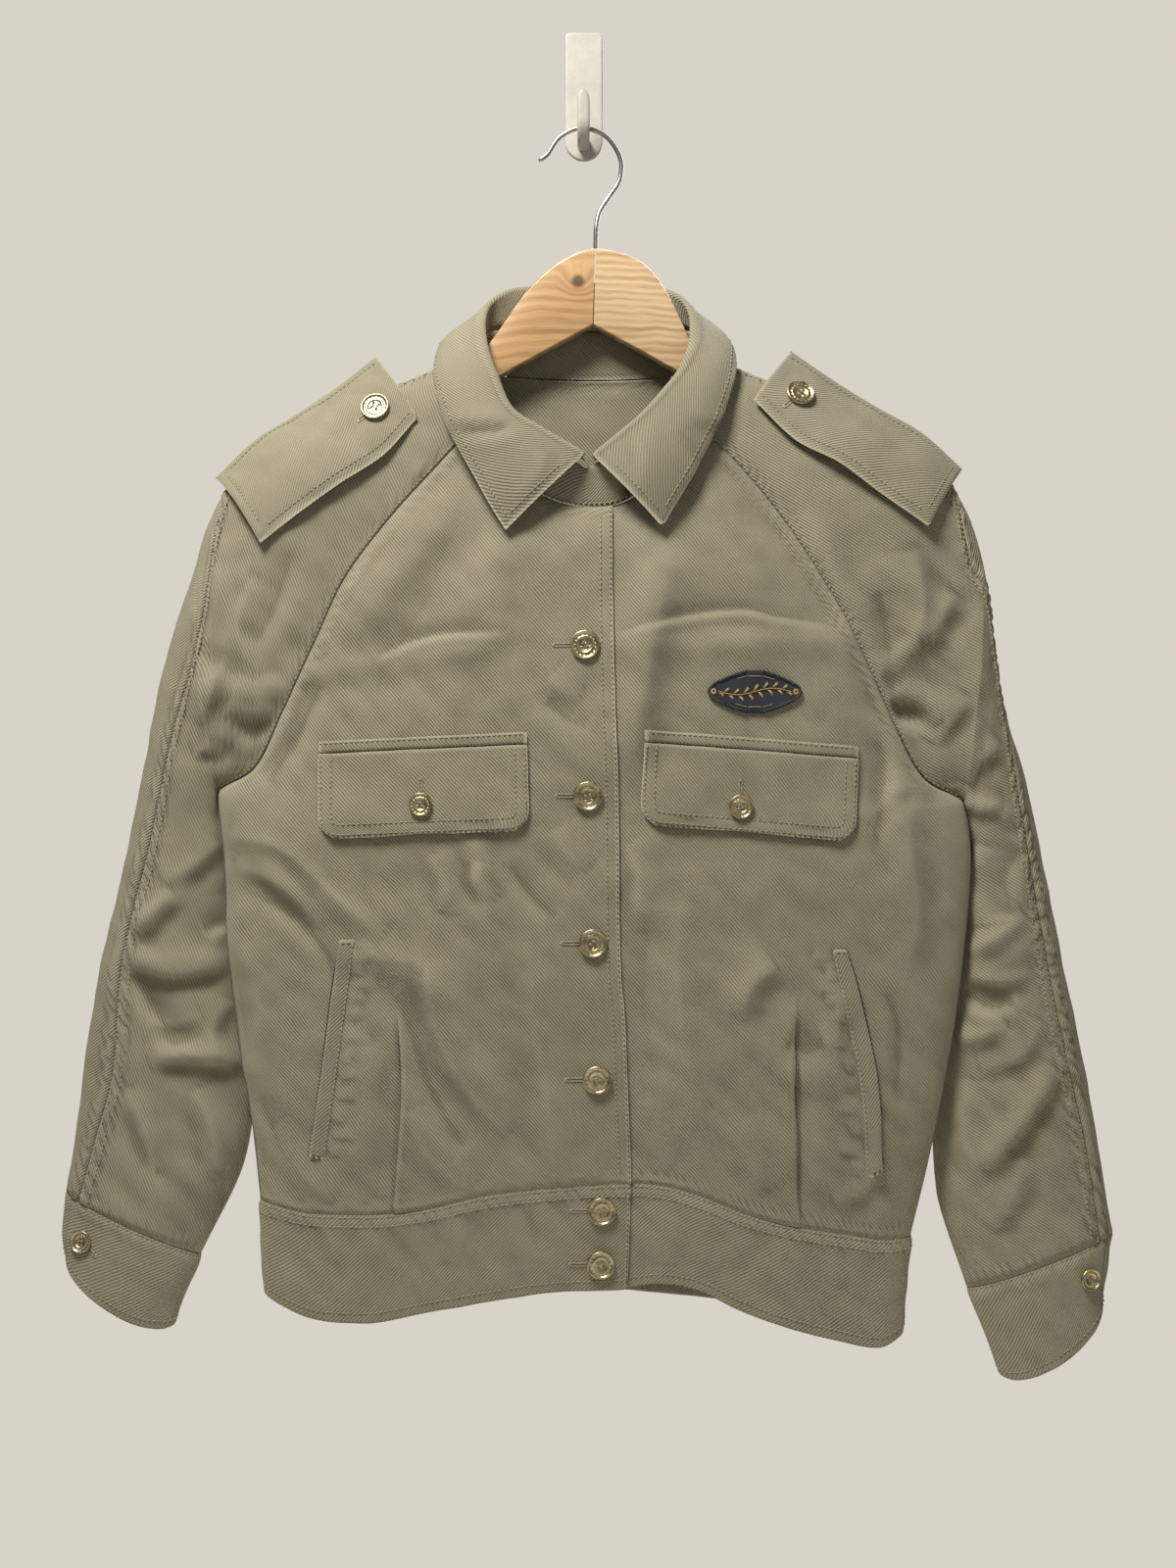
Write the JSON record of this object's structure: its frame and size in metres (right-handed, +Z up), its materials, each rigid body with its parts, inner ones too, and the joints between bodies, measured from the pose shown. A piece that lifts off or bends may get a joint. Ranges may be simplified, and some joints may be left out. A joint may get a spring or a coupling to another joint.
{
  "type": "button-front raglan jacket on a wooden hanger and wall hook",
  "caption": "Short raglan work jacket in heavy twill with collar, epaulettes, chest flaps and waistband, hung flat on a wooden hanger from a wall hook.",
  "frame": {"origin": "centre of the flat back face of the wall hook's plate, where it is fixed to the wall", "axes": "+Z up, +Y into the wall, +X to the right as seen from the front; all of the part is at y below 0"},
  "size_m": [0.699, 0.066, 0.9034],
  "materials": {
    "twill": "heavy diagonal twill, matte",
    "patch": "dense dark cloth with gold-coloured stitching",
    "brass": "worn satin",
    "hanger_wood": "clear satin lacquer",
    "hanger_wire": "drawn wire",
    "hook_paint": "old cream gloss paint"
  },
  "bodies": {
    "root": {"front_right": "twill", "front_left": "twill", "back_body": "twill", "sleeve_front_right": "twill", "sleeve_front_left": "twill", "sleeve_back_right": "twill", "sleeve_back_left": "twill", "cuff_right": "twill", "cuff_left": "twill", "waistband": "twill", "collar_stand": "twill", "collar_fall": "twill", "epaulette_right": "twill", "epaulette_left": "twill", "flap_right": "twill", "flap_left": "twill", "flap_welt_right": "twill", "flap_welt_left": "twill", "pocket_welt_right": "twill", "pocket_welt_left": "twill", "chest_patch": "patch", "button_front_1": "brass", "button_front_2": "brass", "button_front_3": "brass", "button_front_4": "brass", "button_band_1": "brass", "button_band_2": "brass", "button_flap_right": "brass", "button_flap_left": "brass", "button_epaulette_right": "brass", "button_epaulette_left": "brass", "button_cuff_right": "brass", "button_cuff_left": "brass", "hanger_arm_right": "hanger_wood", "hanger_arm_left": "hanger_wood", "hanger_hook": "hanger_wire", "wall_hook_plate": "hook_paint", "wall_hook_peg": "hook_paint"}
  },
  "joints": []
}
